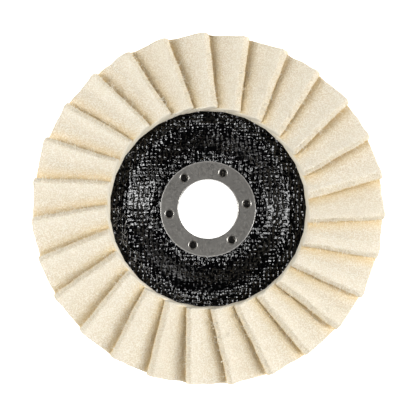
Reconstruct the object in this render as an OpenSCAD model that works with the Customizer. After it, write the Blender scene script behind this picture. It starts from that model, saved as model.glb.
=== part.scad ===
// Felt flap polishing wheel for an angle grinder.
// +Z runs along the bore, from the machine side to the working side.
// The origin is the centre of the bore, in the rear clamping face.
// Clockwise means clockwise as seen from the working side, and angles start at +Y.

/* [Felt flaps] */
// Length of a flap along the radius
flap_length = 27.4; // [24:0.1:28]
// Width of a flap across its length
flap_width = 20; // [18:0.5:21]
// Thickness of the felt
felt_t = 4; // [3:0.1:4]
// Tilt of a flap out of the plane of the wheel
flap_tilt = 29; // [29:0.5:34]
// Distance from the wheel's axis to the inner end of a flap
flap_inner_y = 36.1; // [36.1:0.1:38]
// Sideways distance from the wheel's axis to the lower corner of a flap's free edge
free_edge_x = 8.5; // [8:0.1:9.5]
// Clockwise angle of the first flap
flap_phase = 5.9; // [0:0.1:13]

/* [Backing plate] */
// Diameter of the plate
plate_d = 116; // [114:1:120]
// Height of the rim above the hub
plate_rise = 5.5; // [4:0.5:6]
// Radius at which the flat hub ends
hub_flat_r = 20.5; // [19:0.5:22]
// Radius at which the flat rim starts
rim_flat_r = 31.5; // [30:0.5:34]

/* [Steel centre] */
// Diameter of the bore
bore_d = 22.23; // [22.2:0.01:22.3]
// Diameter of the front and rear rings
ring_d = 35.8; // [35:0.1:38]
// Thickness of the front flange
flange_t = 0.8; // [0.6:0.1:1]
// Thickness of the rear ring
rear_ring_t = 1; // [0.8:0.1:1.2]
// Wall of the sleeve through the bore
sleeve_t = 0.6; // [0.5:0.1:0.8]
// Diameter of the circle on which the anchor holes lie
anchor_pcd = 29.2; // [28.6:0.1:29.4]
// Diameter of an anchor hole
anchor_d = 2.6; // [2:0.1:3]
// Clockwise angle of the first anchor hole
anchor_phase = 22.6; // [0:0.1:59]

/* [Hidden] */
$fn = 96;
function two_digits(n) = str(n < 10 ? "0" : "", n);

// One flap more would make neighbours meet at their inner ends.
flap_count = 27;
flap_pitch = 360 / flap_count;
// Depth by which a flap's lower edge is flattened on the adhesive
flap_seat_depth = 0.6;

anchor_count = 6;
anchor_pitch = 360 / anchor_count;
// Rolled-in rim of an anchor hole, and the wall of the tang that it forms below the flange
anchor_rim_r = 0.6;
tang_wall = 0.45;

// Radii of the bend into the bore and of the flange's edge
bend_r = 0.4;
edge_r = 0.3;
// Lip that the sleeve is rolled into on the machine side
lip_t = 0.6;
lip_w = 1.7;
// Gap between the sleeve and the parts around it
sleeve_gap = 0.05;

// Thickness of each ply, from the machine side to the working side
rear_cloth_t = 0.4;
rear_mesh_t = 0.8;
front_mesh_t = 0.8;
front_cloth_t = 0.5;
laminate_t = rear_cloth_t + rear_mesh_t + front_mesh_t + front_cloth_t;
tang_l = front_mesh_t + front_cloth_t;
// Steps in which the slope between hub and rim is drawn
slope_steps = 16;

// The adhesive stays hidden under the flaps and short of the plate's edge.
adhesive_t = 1;
adhesive_inset = 1;

bore_r = bore_d / 2;
ring_r = ring_d / 2;
plate_r = plate_d / 2;
anchor_r = anchor_d / 2;
tang_r = anchor_r + tang_wall;
lip_r = bore_r + sleeve_t + lip_w;
laminate_z = rear_ring_t;
flange_z = laminate_z + laminate_t;
hub_t = flange_z + flange_t;
rim_z = flange_z + plate_rise;
felt_z = rim_z + adhesive_t;
plate_bore_r = bore_r + sleeve_t + sleeve_gap;

FLAPS = [for (i = [1:flap_count]) str("felt_flap_", two_digits(i))];

// Height of the laminate at radius r, above its height at the hub
function rise_at(r) =
    let (s = min(max((r - hub_flat_r) / (rim_flat_r - hub_flat_r), 0), 1))
    plate_rise * s * s * (3 - 2 * s);

// Radii at which a ply's outline has a corner
slope_radii = concat(
    [plate_bore_r],
    [for (k = [0:slope_steps]) hub_flat_r + (rim_flat_r - hub_flat_r) * k / slope_steps],
    [plate_r]
);

// Copies a child to each anchor hole.
module at_anchors() {
    for (k = [0:anchor_count - 1])
        rotate([0, 0, -anchor_phase - k * anchor_pitch])
            translate([0, anchor_pcd / 2, 0])
                children();
}

// Waste of rounding the corner at the origin to radius r, with the part in the +x, +y quarter
module corner_waste(r) {
    difference() {
        translate([-1, -1]) square(r + 1);
        translate([r, r]) circle(r);
        translate([r, -1]) square(r);
        translate([-1, r]) square(r);
    }
}

// Half section of the bush: sleeve, front flange, and the lip rolled over the rear ring.
module bush_section() {
    difference() {
        union() {
            translate([bore_r, 0]) square([sleeve_t, hub_t]);
            translate([bore_r, flange_z]) square([ring_r - bore_r, flange_t]);
            translate([bore_r, 0]) square([lip_r - bore_r, lip_t]);
        }
        translate([bore_r, 0]) corner_waste(lip_t);
        translate([bore_r, hub_t]) mirror([0, 1]) corner_waste(bend_r);
        translate([ring_r, hub_t]) mirror([1, 0]) mirror([0, 1]) corner_waste(edge_r);
    }
}

// Tube that an anchor hole's rim is drawn into, up to halfway through the flange
module tang() {
    translate([0, 0, flange_z - tang_l]) cylinder(r = tang_r, h = tang_l + flange_t / 2);
}

// Waste of an anchor hole with a rolled-in rim, with the flange's front face at z = 0.
module anchor_waste() {
    translate([0, 0, -flange_t - tang_l - 1]) cylinder(r = anchor_r, h = flange_t + tang_l + 2);
    rotate_extrude()
        difference() {
            translate([0, -anchor_rim_r]) square([anchor_r + anchor_rim_r, anchor_rim_r + 1]);
            translate([anchor_r + anchor_rim_r, -anchor_rim_r]) circle(anchor_rim_r);
        }
}

// Pressed steel bush with its front flange and the six tangs that bite into the laminate.
module flanged_bush() {
    color([0.47, 0.46, 0.44])
        difference() {
            union() {
                rotate_extrude() bush_section();
                at_anchors() tang();
            }
            at_anchors() translate([0, 0, hub_t]) anchor_waste();
        }
}

// Steel ring on the machine side, recessed for the bush's rolled lip.
module rear_ring() {
    color([0.5, 0.49, 0.47])
        difference() {
            cylinder(r = ring_r, h = rear_ring_t);
            translate([0, 0, -1]) cylinder(r = plate_bore_r, h = rear_ring_t + 2);
            translate([0, 0, -1]) cylinder(r = lip_r + sleeve_gap, h = lip_t + 1);
        }
}

// One ply of the laminate, from height z above the hub's rear face, dished from hub to rim.
module ply(z, t) {
    rotate_extrude()
        polygon(concat(
            [for (r = slope_radii) [r, laminate_z + z + rise_at(r)]],
            [for (k = [len(slope_radii) - 1:-1:0])
                [slope_radii[k], laminate_z + z + t + rise_at(slope_radii[k])]]
        ));
}

// A ply that the tangs pass through
module pierced_ply(z, t) {
    difference() {
        ply(z, t);
        at_anchors() translate([0, 0, laminate_z + z - 1]) cylinder(r = tang_r, h = t + 2);
    }
}

module rear_cloth_ply() {
    color([0.07, 0.07, 0.07]) ply(0, rear_cloth_t);
}

module rear_mesh_ply() {
    color([0.16, 0.15, 0.12]) ply(rear_cloth_t, rear_mesh_t);
}

module front_mesh_ply() {
    color([0.16, 0.15, 0.12]) pierced_ply(rear_cloth_t + rear_mesh_t, front_mesh_t);
}

module front_cloth_ply() {
    color([0.05, 0.05, 0.05]) pierced_ply(laminate_t - front_cloth_t, front_cloth_t);
}

// Adhesive in which the lower edges of the flaps are set
module adhesive_bed() {
    color([0.72, 0.6, 0.38])
        difference() {
            translate([0, 0, rim_z]) cylinder(r = plate_r - adhesive_inset, h = adhesive_t);
            translate([0, 0, rim_z - 1]) cylinder(r = flap_inner_y + adhesive_inset, h = adhesive_t + 2);
        }
}

// Flap i: a felt strip that rises clockwise and lies over the next one.
module felt_flap(i) {
    rotate([0, 0, -flap_phase - i * flap_pitch])
        difference() {
            translate([free_edge_x, flap_inner_y, felt_z - flap_seat_depth + flap_width * sin(flap_tilt)])
                rotate([0, -flap_tilt, 0])
                    translate([-flap_width, 0, 0])
                        cube([flap_width, flap_length, felt_t]);
            translate([-plate_r, 0, felt_z - adhesive_t]) cube([plate_d, plate_d, adhesive_t]);
        }
}

flanged_bush();
rear_ring();
rear_cloth_ply();
rear_mesh_ply();
front_mesh_ply();
front_cloth_ply();
adhesive_bed();
for (i = [0:flap_count - 1])
    color([0.93, 0.88, 0.77]) felt_flap(i);
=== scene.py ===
"""Looks of the felt flap disc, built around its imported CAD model. Metres, +Z towards the working side."""

import math

import bpy
import numpy as np
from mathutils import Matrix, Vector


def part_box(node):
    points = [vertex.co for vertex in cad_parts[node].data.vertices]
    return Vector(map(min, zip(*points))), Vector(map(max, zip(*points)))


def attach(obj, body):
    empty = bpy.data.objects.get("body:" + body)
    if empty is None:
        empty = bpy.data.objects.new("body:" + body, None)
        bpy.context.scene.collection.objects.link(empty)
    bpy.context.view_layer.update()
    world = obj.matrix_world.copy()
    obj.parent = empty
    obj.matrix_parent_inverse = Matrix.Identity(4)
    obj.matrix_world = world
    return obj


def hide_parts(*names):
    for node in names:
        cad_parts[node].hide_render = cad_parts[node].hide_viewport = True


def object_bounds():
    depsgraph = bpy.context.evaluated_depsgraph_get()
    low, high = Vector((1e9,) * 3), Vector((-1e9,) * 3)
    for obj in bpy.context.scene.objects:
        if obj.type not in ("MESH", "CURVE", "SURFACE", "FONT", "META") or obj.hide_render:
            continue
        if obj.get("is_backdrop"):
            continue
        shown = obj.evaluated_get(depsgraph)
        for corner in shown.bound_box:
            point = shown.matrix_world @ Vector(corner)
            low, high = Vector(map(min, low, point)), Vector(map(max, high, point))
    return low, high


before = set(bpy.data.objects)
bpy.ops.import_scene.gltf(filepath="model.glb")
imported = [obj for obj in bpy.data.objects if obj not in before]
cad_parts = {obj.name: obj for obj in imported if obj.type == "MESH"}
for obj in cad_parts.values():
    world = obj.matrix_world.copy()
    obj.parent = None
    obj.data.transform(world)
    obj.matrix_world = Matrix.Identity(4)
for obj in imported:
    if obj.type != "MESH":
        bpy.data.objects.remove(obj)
cad_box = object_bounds()

MM = 0.001

# Camera: over the working side, a little below the wheel's middle, and aimed at it
CAMERA_HEIGHT = 435 * MM  # above the flaps
CAMERA_OFFSET = 20 * MM
AIM_HEIGHT = 12 * MM
LENS = 105.0

FLOOR_REACH = 20.0

# Felt
EDGE_ROUND = 0.8 * MM
FELT_STEP = 0.8 * MM  # between the corners of a flap's mesh
FLAPS_OFF_CENTRE = 0.3 * MM  # how far the flaps were glued towards -Y
SQUEEZE = 0.5 * MM  # by which the inner ends spread at the plate
SHADE_REACH = 4.6 * MM  # how far the painted warm shade reaches beside the flap that lies over it
FIBRES_PER_FLAP = 20
FRAY_PER_FLAP = 34
FIBRE_RADIUS = 0.08 * MM  # of a tuft of wool
FIBRE_SUNK = 0.04 * MM  # by which a fibre's ends are below the surface that it lies on

# Cloth of the backing plate: each cell is the crown of a glass thread between two tie threads,
# and strands run over them along Y
CELL = np.array([1.7, 1.4]) * MM
CROWN = 0.26 * MM
STRAND = 0.5 * MM
STRAND_DEPTH = 0.13 * MM
LEAN_X = 0.26 * MM  # most by which a crown is lopsided
LEAN_Y = 0.10 * MM
RIM_FADE = 0.5 * MM  # over which the threads sink into the resin at the cloth's rims
WEAVE_PROUD = 0.02 * MM
WEAVE_SUNK = 0.06 * MM
BACK_STEP = 12  # rings of the raised side to one of the flat side
FRONT_WEAVE_REACH = 37.6 * MM  # radius at which the visible cloth ends, under the flaps
LOOSE_THREADS = 60
THREAD_RADIUS = 0.05 * MM

# Bead of adhesive
BEAD_TURNS = 540
BEAD_SIDES = 28
BEAD_SQUARENESS = 0.35  # 1 is a round bead and 0 a square one


# ---------------------------------------------------------------- helpers


def smooth(x, low, high):
    """0 below low and 1 above high, with a smooth step between."""
    s = np.clip((x - low) / (high - low), 0, 1)
    return s * s * (3 - 2 * s)


def noise(points, cell, seed):
    """Smooth noise from -1 to 1 at points (n, 3), with features about one cell across."""
    table = np.random.RandomState(seed).uniform(-1, 1, 4096)
    scaled = points / cell
    base = np.floor(scaled).astype(np.int64)
    part = scaled - base
    part = part * part * (3 - 2 * part)
    total = np.zeros(len(points))
    for corner in np.ndindex(2, 2, 2):
        c = base + corner
        index = (c[:, 0] * 73856093 ^ c[:, 1] * 19349663 ^ c[:, 2] * 83492791) & 4095
        total += np.prod(np.where(corner, part, 1 - part), axis=1) * table[index]
    return total


def mesh_points(node):
    """The corners of a CAD node's mesh, as an array (n, 3)."""
    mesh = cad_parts[node].data
    points = np.zeros(len(mesh.vertices) * 3, np.float32)
    mesh.vertices.foreach_get("co", points)
    return points.reshape(-1, 3).astype(float)


def add_piece(name, points, faces, material, slot, replaces=(), attributes=()):
    """A smooth-shaded piece of the wheel, which rides on its one body."""
    mesh = bpy.data.meshes.new(name)
    mesh.from_pydata(points.tolist(), [], faces)
    mesh.materials.append(material)
    for key, values in dict(attributes).items():
        mesh.attributes.new(key, "FLOAT", "POINT").data.foreach_set("value", values.astype(np.float32))
    mesh.shade_smooth()
    piece = bpy.data.objects.new(name, mesh)
    bpy.context.scene.collection.objects.link(piece)
    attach(piece, "root")
    if replaces:
        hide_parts(*replaces)
    return piece


def join(shapes):
    """Points and faces of (points, faces) shapes, as one."""
    points, faces, first = [], [], 0
    for shape_points, shape_faces in shapes:
        points.append(shape_points)
        faces += [[first + corner for corner in face] for face in shape_faces]
        first += len(shape_points)
    return np.concatenate(points), faces


def turned(angle_count):
    """Angles that divide a full turn into that many steps."""
    return np.arange(angle_count) * 2 * math.pi / angle_count


def around(radii, heights, angles):
    """Points (rings, angles, 3) of the surface that an outline sweeps about the wheel's axis."""
    return np.stack([
        np.outer(radii, np.cos(angles)), np.outer(radii, np.sin(angles)),
        np.repeat(heights[:, None], len(angles), axis=1)], axis=2)


def new_material(name):
    """A material, its node tree and its shader."""
    material = bpy.data.materials.new(name)
    material.use_nodes = True
    return material, material.node_tree, material.node_tree.nodes["Principled BSDF"]


def add_node(tree, kind, inputs=None, **settings):
    """A shader node with these settings, and its inputs set to values or linked to sockets."""
    node = tree.nodes.new("ShaderNode" + kind)
    for key, value in settings.items():
        setattr(node, key, value)
    for key, value in (inputs or {}).items():
        if isinstance(value, bpy.types.NodeSocket):
            tree.links.new(value, node.inputs[key])
        else:
            node.inputs[key].default_value = value
    return node


def place(tree):
    """The socket of the piece's own coordinates, in metres."""
    return add_node(tree, "TexCoord").outputs["Object"]


def grain(tree, scale, detail=2, **settings):
    """The socket of a noise with that many features to a metre."""
    inputs = {"Vector": place(tree), "Scale": scale, "Detail": detail}
    return add_node(tree, "TexNoise", inputs, **settings).outputs[0]


def fade(tree, value, low, high, to_low=0.0, to_high=1.0):
    """The socket of value, taken from low..high to to_low..to_high."""
    inputs = {"Value": value, "From Min": low, "From Max": high, "To Min": to_low, "To Max": to_high}
    return add_node(tree, "MapRange", inputs).outputs["Result"]


def blend(tree, factor, first, second):
    """The socket of two colours, mixed by factor."""
    node = add_node(tree, "Mix", data_type="RGBA")
    for key, value in ((0, factor), (6, first), (7, second)):
        if isinstance(value, bpy.types.NodeSocket):
            tree.links.new(value, node.inputs[key])
        else:
            node.inputs[key].default_value = value
    return node.outputs[2]


def bump(tree, height, depth, under=None):
    """The socket of a normal that height, from 0 to 1, pushes out by up to depth metres."""
    inputs = {"Height": height, "Distance": depth, "Strength": 1.0}
    if under:
        inputs["Normal"] = under
    return add_node(tree, "Bump", inputs).outputs["Normal"]


# ---------------------------------------------------------------- materials


def felt_material():
    """Pressed wool: cream with a fine grain, painted warm shade beside the flap over it, painted light at
    its free edge and inner end.
    """
    material, tree, shader = new_material("wool_felt")
    cut, tone, shade, wear_and_painted_light = (add_node(tree, "Attribute", attribute_name=name).outputs["Fac"]
                              for name in ("cut", "tone", "shade", "wear_and_painted_light"))
    cloudy = fade(tree, grain(tree, 240, 3), 0.35, 0.65)
    fine = fade(tree, grain(tree, 2200, 1), 0.40, 0.60)
    tangle = grain(tree, 1100, 4, noise_type="RIDGED_MULTIFRACTAL")
    colour = blend(tree, cloudy, (0.95, 0.885, 0.755, 1), (0.97, 0.92, 0.805, 1))
    colour = blend(tree, fade(tree, tone, 0, 1, 0, 0.3), colour, (0.86, 0.745, 0.55, 1))
    colour = blend(tree, fade(tree, fine, 0, 1, 0.9, 0), colour, (0.77, 0.66, 0.48, 1))
    colour = blend(tree, fade(tree, tangle, 0.9, 2.2, 0, 0.25), colour, (0.96, 0.91, 0.80, 1))
    colour = blend(tree, fade(tree, cut, 0, 1, 0, 0.1), colour, (0.86, 0.77, 0.58, 1))
    # painted shade: warm tan beside the flap that lies over this one and along the flap's underside
    colour = blend(tree, fade(tree, shade, 0, 1, 0, 0.75), colour, (0.84, 0.66, 0.36, 1))
    # painted shade: darker brown flecks of grain inside the painted shade
    speckled_shade = add_node(tree, "Math", {0: shade, 1: fade(tree, fine, 0, 1, 0.55, 0)}, operation="MULTIPLY")
    colour = blend(tree, speckled_shade.outputs[0], colour, (0.70, 0.52, 0.24, 1))
    # painted light: paler cream towards each free edge, on the inner ends and on the loose fibres
    colour = blend(tree, fade(tree, wear_and_painted_light, 0, 1, 0, 0.85), colour, (1.0, 0.93, 0.78, 1))
    tree.links.new(colour, shader.inputs["Base Color"])
    shader.inputs["Roughness"].default_value = 0.95
    shader.inputs["Specular IOR Level"].default_value = 0.2
    shader.inputs["Sheen Weight"].default_value = 0.12
    shader.inputs["Sheen Roughness"].default_value = 0.5
    shader.inputs["Sheen Tint"].default_value = (1.0, 0.95, 0.85, 1)
    normal = bump(tree, grain(tree, 450, 3), 0.25 * MM)
    normal = bump(tree, fine, 0.16 * MM, normal)
    tree.links.new(normal, shader.inputs["Normal"])
    return material


def resin_cloth_material():
    """Black gloss resin over glass threads, scuffed bare here and there on their crowns."""
    material, tree, shader = new_material("resin_cloth")
    crown = add_node(tree, "Attribute", attribute_name="crown").outputs["Fac"]
    # real wear: patches where the threads' crowns are scuffed bare of resin
    wear_and_painted_light = fade(tree, grain(tree, 500, 3), 0.55, 0.66)
    bare = add_node(tree, "Math", {0: wear_and_painted_light, 1: fade(tree, crown, 0.55, 0.95)}, operation="MULTIPLY")
    colour = blend(tree, bare.outputs[0], (0.001, 0.001, 0.0012, 1), (0.03, 0.03, 0.03, 1))
    tree.links.new(colour, shader.inputs["Base Color"])
    tree.links.new(fade(tree, grain(tree, 600, 2), 0.3, 0.7, 0.05, 0.12), shader.inputs["Roughness"])
    shader.inputs["IOR"].default_value = 1.52
    filaments = {"Vector": place(tree), "Scale": 700.0, "Distortion": 3.0, "Detail": 2.0}
    filaments = add_node(tree, "TexWave", filaments, bands_direction="Y").outputs["Fac"]
    normal = bump(tree, filaments, 0.010 * MM)
    normal = bump(tree, grain(tree, 1500, 1), 0.03 * MM, normal)
    tree.links.new(normal, shader.inputs["Normal"])
    return material


def plain_resin_material():
    """Black resin without threads, between the plies and under the rings."""
    material, tree, shader = new_material("black_resin")
    tree.links.new(
        blend(tree, grain(tree, 300, 3), (0.006, 0.006, 0.007, 1), (0.02, 0.019, 0.018, 1)),
        shader.inputs["Base Color"])
    tree.links.new(fade(tree, grain(tree, 500, 2), 0.3, 0.7, 0.25, 0.5), shader.inputs["Roughness"])
    tree.links.new(bump(tree, grain(tree, 800, 3), 0.1 * MM), shader.inputs["Normal"])
    return material


def glass_mesh_material():
    """Cut edge of the inner plies: dark resin with the pale ends of glass threads."""
    material, tree, shader = new_material("glass_mesh")
    cells = add_node(tree, "TexVoronoi", {"Vector": place(tree), "Scale": 900.0}).outputs["Distance"]
    ends = fade(tree, cells, 0.35, 0.15)
    patchy = fade(tree, grain(tree, 220, 2), 0.4, 0.6)
    pale = add_node(tree, "Math", {0: ends, 1: patchy}, operation="MULTIPLY").outputs[0]
    tree.links.new(blend(tree, pale, (0.012, 0.010, 0.008, 1), (0.30, 0.28, 0.23, 1)),
                   shader.inputs["Base Color"])
    tree.links.new(fade(tree, pale, 0, 1, 0.35, 0.6), shader.inputs["Roughness"])
    tree.links.new(bump(tree, grain(tree, 900, 3), 0.15 * MM), shader.inputs["Normal"])
    return material


def steel_material():
    """Matt grey pressed steel: tumbled, faintly mottled, with fine scratches and a painted highlight at the
    flange's rim.
    """
    material, tree, shader = new_material("matt_steel")
    cloud = fade(tree, grain(tree, 160, 4), 0.35, 0.65)
    speck = fade(tree, grain(tree, 1800, 2), 0.35, 0.65)
    across = add_node(tree, "VectorMath", {0: place(tree), 1: (1, 1, 0)}, operation="MULTIPLY").outputs[0]
    radius = add_node(tree, "VectorMath", {0: across}, operation="LENGTH").outputs["Value"]
    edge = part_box("flanged_bush")[1].x
    # painted highlight: paler, less metallic band at the flange's outer edge, where the rounded edge
    # catches the light
    painted_edge_highlight = fade(tree, radius, edge - 0.45 * MM, edge - 0.15 * MM)
    colour = blend(tree, cloud, (0.37, 0.355, 0.332, 1), (0.435, 0.42, 0.392, 1))
    colour = blend(tree, fade(tree, speck, 0, 1, 0, 0.55), colour, (0.23, 0.22, 0.205, 1))
    colour = blend(tree, painted_edge_highlight, colour, (0.62, 0.61, 0.585, 1))
    tree.links.new(colour, shader.inputs["Base Color"])
    tree.links.new(fade(tree, painted_edge_highlight, 0, 1, 0.9, 0.35), shader.inputs["Metallic"])
    tree.links.new(fade(tree, speck, 0, 1, 0.30, 0.46), shader.inputs["Roughness"])
    streaks = add_node(tree, "Mapping", {"Vector": place(tree), "Scale": (1.0, 0.06, 1.0)}).outputs[0]
    scratches = add_node(tree, "TexNoise", {"Vector": streaks, "Scale": 2400.0, "Detail": 2.0}).outputs[0]
    normal = bump(tree, scratches, 0.008 * MM)
    normal = bump(tree, grain(tree, 1500, 3), 0.03 * MM, normal)
    tree.links.new(normal, shader.inputs["Normal"])
    return material


def epoxy_material():
    """Cured amber epoxy."""
    material, tree, shader = new_material("epoxy")
    colour = blend(tree, grain(tree, 250, 3), (0.50, 0.36, 0.16, 1), (0.66, 0.51, 0.27, 1))
    tree.links.new(colour, shader.inputs["Base Color"])
    shader.inputs["Roughness"].default_value = 0.3
    shader.inputs["Subsurface Weight"].default_value = 0.3
    shader.inputs["Subsurface Scale"].default_value = 1 * MM
    tree.links.new(bump(tree, grain(tree, 300, 2), 0.2 * MM), shader.inputs["Normal"])
    return material


def glass_thread_material():
    """Loose glass filaments, pale and a little shiny."""
    material, tree, shader = new_material("glass_thread")
    colour = blend(tree, grain(tree, 1500, 2), (0.42, 0.41, 0.38, 1), (0.70, 0.69, 0.66, 1))
    tree.links.new(colour, shader.inputs["Base Color"])
    shader.inputs["Roughness"].default_value = 0.35
    return material


def floor_material():
    """White light-table sheet, bright enough to drown the wheel's shadow."""
    material, _, shader = new_material("light_table")
    shader.inputs["Base Color"].default_value = (0.8, 0.8, 0.8, 1)
    shader.inputs["Roughness"].default_value = 0.9
    shader.inputs["Specular IOR Level"].default_value = 0.0
    shader.inputs["Emission Color"].default_value = (1, 1, 1, 1)
    shader.inputs["Emission Strength"].default_value = 1.0
    return material


# ---------------------------------------------------------------- felt flaps


def stations(length, step):
    """Places from 0 to length, closer together over the rounded edge at each end."""
    edge = EDGE_ROUND * (1 - np.cos(np.linspace(0, math.pi / 2, 4)))
    middle = np.linspace(EDGE_ROUND, length - EDGE_ROUND, int(round(length / step)))
    return np.concatenate([edge[:-1], middle, length - edge[-2::-1]])


def box_surface(xs, ys, zs):
    """Corners and outward faces of a box whose sides are divided at those places."""
    places, last = (xs, ys, zs), (len(xs) - 1, len(ys) - 1, len(zs) - 1)
    index, points, faces = {}, [], []
    for at in np.ndindex(len(xs), len(ys), len(zs)):
        if any(at[axis] in (0, last[axis]) for axis in range(3)):
            index[at] = len(points)
            points.append([places[axis][at[axis]] for axis in range(3)])
    for axis in range(3):
        second, third = (axis + 1) % 3, (axis + 2) % 3
        for side in (0, last[axis]):
            for m, n in np.ndindex(last[second], last[third]):
                quad = []
                for step_m, step_n in ((0, 0), (1, 0), (1, 1), (0, 1)):
                    at = [side] * 3
                    at[second], at[third] = m + step_m, n + step_n
                    quad.append(index[tuple(at)])
                faces.append(quad if side else quad[::-1])
    return np.array(points), faces


def flap_frame(node):
    """Inner lower corner of a flap's underside, its directions as rows, and its size.

    The directions are across it to the free edge, along it to the outer end, and through its thickness."""
    points = mesh_points(node)
    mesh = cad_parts[node].data
    mesh.calc_loop_triangles()
    upper = max((t for t in mesh.loop_triangles if t.normal.z > 0.5), key=lambda t: t.area)
    up = np.array(upper.normal)
    height = points @ up
    face = np.unique(np.round(points[height > height.max() - 0.01 * MM], 7), axis=0)
    face = face[np.argsort(face[:, 2])]
    low, free = (sorted(pair.tolist(), key=lambda corner: math.hypot(*corner[:2]))
                 for pair in (face[:2], face[2:]))
    across, along = np.subtract(free[0], low[0]), np.subtract(free[1], free[0])
    size = np.array([np.linalg.norm(across), np.linalg.norm(along), np.ptp(height)])
    return low[0] - up * size[2], np.array([across / size[0], along / size[1], up]), size


def soften(points, size, rng, seed):
    """A flap's points with rounded edges, and the bends and flaws that make no two flaps alike."""
    squeezed = SQUEEZE * smooth(-points[:, 1], -3 * MM, 0) * (1.1 - points[:, 2] / size[2])
    inner = np.clip(points, EDGE_ROUND, size - EDGE_ROUND)
    away = points - inner
    points = inner + away / np.linalg.norm(away, axis=1, keepdims=True) * EDGE_ROUND
    free, outer, top = (points / size).T
    near_edge = smooth(free, 0.8, 1.0)
    droop = rng.uniform(0.5, 1.9) * MM
    swing = rng.uniform(-0.4, 0.4) * MM
    bevel = np.clip(rng.normal(0.1, 0.4), -0.5, 1.2) * MM
    hollow = rng.uniform(0.0, 0.25) * MM
    points[:, 2] -= droop * free ** 2 * outer ** 1.4
    points[:, 2] += 0.1 * MM * (1 - top)
    points[:, 0] += swing * outer * free - bevel * top * near_edge
    points[:, 2] -= hollow * top * np.sin(math.pi * free) * np.sin(math.pi * outer)
    sway = noise(points * (0, 1, 0), 7 * MM, seed) * 0.22 * MM
    sway += noise(points * (0, 1, 0), 2.2 * MM, seed + 1) * 0.08 * MM
    points[:, 0] += sway * near_edge
    points[:, 1] -= squeezed
    points[:, 1] += noise(points * (1, 0, 0.3), 4 * MM, seed + 2) * 0.25 * MM * smooth(outer, 0.9, 1.0)
    points[:, 2] += noise(points, 5 * MM, seed + 3) * 0.12 * MM * outer * top
    points += np.stack([noise(points, 1.1 * MM, seed + 4 + k) for k in range(3)], axis=1) * 0.045 * MM
    return points


def fibre(start, end, up, arch, curl, radius=FIBRE_RADIUS):
    """Corners and faces of one loose fibre, a thin closed tube that arches and curls from start to end."""
    steps = np.linspace(0, 1, 7)[:, None]
    sideways = np.cross(end - start, up)
    sideways /= np.linalg.norm(sideways)
    path = start + (end - start) * steps + up * (arch * 4 * steps * (1 - steps) - FIBRE_SUNK)
    path = path + sideways * curl * np.sin(math.pi * 1.5 * steps)
    turns = np.arange(4) * math.pi / 2
    ring = radius * (np.cos(turns)[:, None] * sideways + np.sin(turns)[:, None] * up)
    points = (path[:, None] + ring[None]).reshape(-1, 3)
    sides = [[r * 4 + s, r * 4 + (s + 1) % 4, r * 4 + 4 + (s + 1) % 4, r * 4 + 4 + s]
             for r in range(len(path) - 1) for s in range(4)]
    last = len(points)
    return points, sides + [[3, 2, 1, 0], [last - 4, last - 3, last - 2, last - 1]]


def loose_fibres(points, directions, size, local, rng):
    """Fibres that lie on a flap's upper side, and a fray along its free edge."""
    across, along, up = directions
    upper = np.flatnonzero((local[:, 2] > size[2] - 0.01 * MM) & (local[:, 0] > 0.4 * size[0]))
    for _ in range(FIBRES_PER_FLAP):
        first = rng.choice(upper)
        far = np.linalg.norm(points[upper] - points[first], axis=1)
        second = rng.choice(upper[(far > 0.8 * MM) & (far < 3 * MM)])
        arch = rng.uniform(0.06, 0.2) * MM
        yield fibre(points[first], points[second], up, arch, rng.uniform(-0.5, 0.5) * MM)
    corner = np.flatnonzero((local[:, 0] > size[0] - 0.01 * MM) & (local[:, 2] > 0.6 * size[2])
                            & (local[:, 1] > 1.5 * MM) & (local[:, 1] < size[1] - 1.5 * MM))
    for _ in range(FRAY_PER_FLAP):
        start = points[rng.choice(corner)]
        reach = across * rng.uniform(0.6, 2.2) + along * rng.uniform(-1, 1) - up * rng.uniform(0.2, 1.4)
        yield fibre(start, start + reach * MM, up, 0.15 * MM, rng.uniform(-0.3, 0.3) * MM)


def shade_of(points, edge_start, edge_end, turn):
    """Painted shade at points, from 1 to 0, by nearness to the foot of the free edge that lies over this
    flap.

    The edge is the flap's own free edge, turned back about the wheel's axis to its neighbour's place."""
    swing = np.array([[math.cos(turn), -math.sin(turn)], [math.sin(turn), math.cos(turn)]])
    start, end = swing @ edge_start[:2], swing @ edge_end[:2]
    heading = (end - start) / np.linalg.norm(end - start)
    beside = (points[:, :2] - start) @ np.array([heading[1], -heading[0]])
    close = np.exp(-np.maximum(beside, 0) / (0.2 * SHADE_REACH))
    wide = 1 - smooth(beside, 0, SHADE_REACH)
    return 0.55 * close + 0.45 * wide


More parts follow.
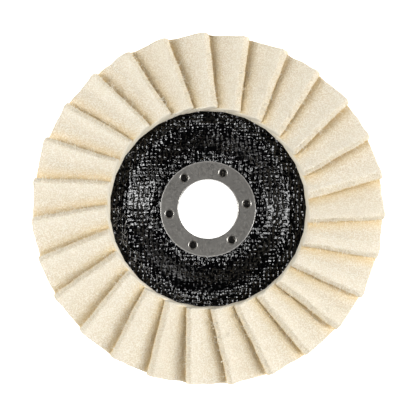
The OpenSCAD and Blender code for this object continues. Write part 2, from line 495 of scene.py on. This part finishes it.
def add_flap(number, grid, faces, turn, material):
    """One felt flap in the space of its CAD node, with its fibres."""
    node = f"felt_flap_{number:02d}"
    rng = np.random.RandomState(100 + number)
    corner, directions, size = flap_frame(node)
    shape = soften(grid.copy(), size, rng, 1000 * number)
    points = corner + shape @ directions
    edge_start = corner + directions[0] * size[0]
    # painted shade: beside the free edge of the flap that lies over this one, and over this flap's lowest
    # 1.6 mm
    shade = shade_of(points, edge_start, edge_start + directions[1] * size[1], turn)
    shade = np.maximum(shade, 1 - smooth(grid[:, 2], 0, 1.6 * MM))
    ends = np.maximum(1 - grid[:, 1] / EDGE_ROUND, (grid[:, 1] - size[1]) / EDGE_ROUND + 1)
    cut = np.clip(np.maximum((grid[:, 0] - size[0]) / EDGE_ROUND + 1, ends), 0, 1)
    # painted light: paler towards the free edge and on the inner end, which lies in shade; loose fibres get
    # it in full
    wear_and_painted_light = 0.4 * smooth(grid[:, 0] / size[0], 0.6, 0.95) * (1 - cut)
    wear_and_painted_light = np.maximum(wear_and_painted_light, smooth(-grid[:, 1], -0.7 * MM, 0))
    points[:, 1] -= FLAPS_OFF_CENTRE
    points[:, 2] = np.maximum(points[:, 2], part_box(node)[0].z)
    fibres = loose_fibres(points, directions, size, grid, rng)
    everything, all_faces = join([(points, faces), *fibres])
    spare = np.zeros(len(everything) - len(points))
    attributes = {"cut": np.append(cut, spare), "shade": np.append(shade, spare),
                  "wear_and_painted_light": np.append(wear_and_painted_light, spare + 1), "tone": np.full(len(everything), rng.uniform(0, 1))}
    piece = add_piece(f"flap_{number:02d}", everything, all_faces, material, "felt", [node], attributes)


def add_flaps(material):
    """All the felt flaps."""
    numbers = sorted(int(node[-2:]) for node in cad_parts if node.startswith("felt_flap"))
    size = flap_frame("felt_flap_01")[2]
    grid, faces = box_surface(*(stations(length, FELT_STEP) for length in size))
    for number in numbers:
        add_flap(number, grid, faces, 2 * math.pi / len(numbers), material)


# ---------------------------------------------------------------- backing plate


def profile(node, side):
    """Radii and heights of a ply's upper (side 1) or lower (side -1) face, from its CAD mesh."""
    points = mesh_points(node)
    radius = np.hypot(points[:, 0], points[:, 1])
    steps = np.unique(np.round(radius, 5))
    heights = [side * (side * points[np.abs(radius - r) < 0.02 * MM, 2]).max() for r in steps]
    return steps, np.array(heights)


def weave(points, seed):
    """Height of an uneven open weave at points, and how near the crown of a thread it is."""
    wander = np.stack([noise(points, 9 * MM, seed + k) for k in (0, 1)], axis=1) * 0.6 * MM
    wander += np.stack([noise(points, 2 * MM, seed + k) for k in (2, 3)], axis=1) * 0.25 * MM
    place_in = (points[:, :2] + wander) / CELL
    cell = np.floor(place_in)
    off = 2 * (place_in - cell) - 1
    numbers = np.pad(cell, ((0, 0), (0, 1)))
    lift, lean_x, lean_y = (noise(numbers, 1, seed + 4 + k) for k in range(3))
    crown = (1 - off[:, 0] ** 2) * (1 - off[:, 1] ** 4)
    drowned = 0.7 + 0.3 * smooth(noise(points, 7 * MM, seed + 7), -0.6, 0.2)
    raised = 0.4 + smooth(lift, -0.6, 0.8)
    height = crown * (CROWN * raised + lean_x * off[:, 0] * LEAN_X + lean_y * off[:, 1] * LEAN_Y)
    height = np.maximum(height, 0) * drowned
    height += (noise(points * (1, 0.4, 0), STRAND, seed + 8) + 1) * STRAND_DEPTH
    return height, crown


def add_weave(name, node, side, inner, outer, turns, step, material, seed):
    """The cloth's threads on one face of a ply, as a closed shell that is thin at its rims.

    It has that many turns around the axis and a ring of corners at each step of the radius."""
    radii = np.linspace(inner, outer, int(round((outer - inner) / step)) + 1)
    height = np.interp(radii, *profile(node, side))
    grid = around(radii, height, turned(turns)).reshape(-1, 3)
    relief, crown = weave(grid * (1, 1, 0), seed)
    radius = np.repeat(radii, turns)
    relief *= smooth(radius, inner, inner + RIM_FADE) * smooth(-radius, -outer, RIM_FADE - outer)
    back_rings = np.unique(np.append(np.arange(0, len(radii), BACK_STEP), len(radii) - 1))
    back = grid.reshape(len(radii), turns, 3)[back_rings].reshape(-1, 3) - (0, 0, side * WEAVE_SUNK)
    grid[:, 2] += side * (relief + WEAVE_PROUD)
    rings = [np.arange(turns) + k * turns for k in range(len(radii))]
    rings += [np.arange(turns) + (len(radii) + k) * turns for k in reversed(range(len(back_rings)))]
    faces = []
    for first, second in zip(rings, rings[1:] + rings[:1]):
        quads = np.stack([first, second, np.roll(second, -1), np.roll(first, -1)], axis=1)
        faces += (quads if side > 0 else quads[:, ::-1]).tolist()
    crown = np.append(crown, np.zeros(len(back)))
    add_piece(name, np.concatenate([grid, back]), faces, material, "coated_cloth", (), {"crown": crown})


def add_loose_threads(material):
    """Glass filaments that have come loose at the rim of the visible cloth."""
    rng = np.random.RandomState(7)
    radii, heights = profile("front_cloth_ply", 1)
    up = np.array([0, 0, 1.0])
    threads = []
    for _ in range(LOOSE_THREADS):
        angle, radius = math.radians(rng.normal(200, 32)), rng.uniform(31.0, 35.3) * MM
        height = np.interp(radius, radii, heights) + 0.25 * MM
        start = np.array([radius * math.cos(angle), radius * math.sin(angle), height])
        turn = rng.uniform(0, 2 * math.pi)
        end = start + np.array([math.cos(turn), math.sin(turn), 0]) * rng.uniform(1.0, 3.0) * MM
        arch, curl = rng.uniform(0.1, 0.3) * MM, rng.uniform(-0.9, 0.9) * MM
        threads.append(fibre(start, end, up, arch, curl, THREAD_RADIUS))
    add_piece("loose_threads", *join(threads), material, "glass_mesh")


# ---------------------------------------------------------------- adhesive


def add_adhesive(material):
    """The bead of epoxy: uneven at its rims, and flat where the flaps are set in it."""
    low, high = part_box("adhesive_bed")
    points = mesh_points("adhesive_bed")
    radius = np.hypot(points[:, 0], points[:, 1])
    middle, half = (radius.min() + radius.max()) / 2, (radius.max() - radius.min()) / 2
    tube = turned(BEAD_SIDES)
    sideways, upward = (np.sign(part) * np.abs(part) ** BEAD_SQUARENESS
                        for part in (np.cos(tube), np.sin(tube)))
    heights = (low.z + high.z) / 2 + (high.z - low.z) / 2 * upward
    grid = around(middle + half * sideways, heights, turned(BEAD_TURNS)).reshape(-1, 3)
    outward = np.repeat(sideways * smooth(np.abs(sideways), 0.8, 1.0), BEAD_TURNS)
    ripple = noise(grid * (1, 1, 0), 3.5 * MM, 31) * 0.35 * MM
    ripple += noise(grid * (1, 1, 0), 1.3 * MM, 32) * 0.12 * MM
    flat = grid[:, :2] / np.linalg.norm(grid[:, :2], axis=1, keepdims=True)
    grid[:, :2] += flat * (outward * ripple)[:, None]
    index = np.arange(BEAD_SIDES * BEAD_TURNS).reshape(BEAD_SIDES, BEAD_TURNS)
    after = np.roll(index, -1, axis=0)
    quads = np.stack([index, after, np.roll(after, -1, axis=1), np.roll(index, -1, axis=1)], axis=2)
    faces = quads.reshape(-1, 4)[:, ::-1].tolist()
    add_piece("adhesive_bead", grid, faces, material, "adhesive", ["adhesive_bed"])


# ---------------------------------------------------------------- camera, light, stage


def add_camera():
    """Camera over the working side, with +Y up."""
    camera = bpy.data.cameras.new("camera")
    camera.lens = LENS
    camera.sensor_width = 36
    camera.clip_start = 0.01
    holder = bpy.data.objects.new("camera", camera)
    holder.location = (0, -CAMERA_OFFSET, cad_box[1][2] + CAMERA_HEIGHT)
    holder.rotation_euler.x = math.atan2(CAMERA_OFFSET, holder.location.z - AIM_HEIGHT)
    bpy.context.scene.collection.objects.link(holder)
    bpy.context.scene.camera = holder


def add_softbox(name, location, width, length, power):
    """A softbox at a location, turned to the origin."""
    light = bpy.data.lights.new(name, "AREA")
    light.shape = "RECTANGLE"
    light.size, light.size_y = width, length
    light.energy = power
    holder = bpy.data.objects.new(name, light)
    holder.location = location
    holder.rotation_euler = holder.location.to_track_quat("Z", "Y").to_euler()
    bpy.context.scene.collection.objects.link(holder)


def add_floor(material):
    """The sheet on which the wheel lies."""
    mesh = bpy.data.meshes.new("floor")
    corners = [(x * FLOOR_REACH, y * FLOOR_REACH, 0) for x, y in ((-1, -1), (1, -1), (1, 1), (-1, 1))]
    mesh.from_pydata(corners, [], [(0, 1, 2, 3)])
    mesh.materials.append(material)
    floor = bpy.data.objects.new("floor", mesh)
    floor.location.z = cad_box[0][2] - 0.1 * MM
    bpy.context.scene.collection.objects.link(floor)
    floor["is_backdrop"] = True


def add_world():
    """Dark studio with a little light from the left and right, and a white backdrop behind the wheel."""
    world = bpy.data.worlds.new("studio")
    world.use_nodes = True
    tree = world.node_tree
    side = add_node(tree, "SeparateXYZ", {0: add_node(tree, "TexCoord").outputs["Generated"]}).outputs["X"]
    side = add_node(tree, "Math", {0: side}, operation="ABSOLUTE").outputs[0]
    colour = blend(tree, fade(tree, side, 0.65, 0.95), (0.01, 0.01, 0.01, 1), (0.03, 0.03, 0.03, 1))
    seen = add_node(tree, "LightPath").outputs["Is Camera Ray"]
    colour = blend(tree, seen, colour, (1, 1, 1, 1))
    tree.links.new(colour, tree.nodes["Background"].inputs["Color"])
    bpy.context.scene.world = world
    bpy.context.scene.view_settings.view_transform = "Standard"


# ---------------------------------------------------------------- the scene

add_camera()
add_world()
add_floor(floor_material())

# Each softbox's name, location, width, length and watts
add_softbox("key_left", (-0.55, 0.02, 0.57), 0.21, 0.50, 4.45)
add_softbox("key_right", (0.56, -0.09, 0.56), 0.19, 0.48, 4.65)
add_softbox("strip_right", (0.68, -0.08, 0.36), 0.07, 0.30, 0.9)
add_softbox("low_back", (0.42, 0.62, 0.20), 0.50, 0.15, 1.2)
add_softbox("low_front", (-0.42, -0.62, 0.20), 0.50, 0.15, 1.2)

steel, resin, glass_mesh = steel_material(), plain_resin_material(), glass_mesh_material()
for nodes, material in ((("flanged_bush", "rear_ring"), steel),
                        (("front_cloth_ply", "rear_cloth_ply"), resin),
                        (("front_mesh_ply", "rear_mesh_ply"), glass_mesh)):
    for node in nodes:
        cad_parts[node].material_slots[0].material = material

add_flaps(felt_material())

cloth = resin_cloth_material()
ring_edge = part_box("flanged_bush")[1].x
plate_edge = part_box("front_cloth_ply")[1].x
add_weave("front_weave", "front_cloth_ply", 1, ring_edge - 0.6 * MM, FRONT_WEAVE_REACH,
          turns=960, step=0.215 * MM, material=cloth, seed=11)
add_weave("rear_weave", "rear_cloth_ply", -1, ring_edge + 0.1 * MM, plate_edge,
          turns=900, step=0.42 * MM, material=cloth, seed=12)
add_loose_threads(glass_thread_material())
add_adhesive(epoxy_material())

boxes = {"cad": cad_box, "visual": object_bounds()}
{key: [list(map(float, corner)) for corner in box] for key, box in boxes.items()}
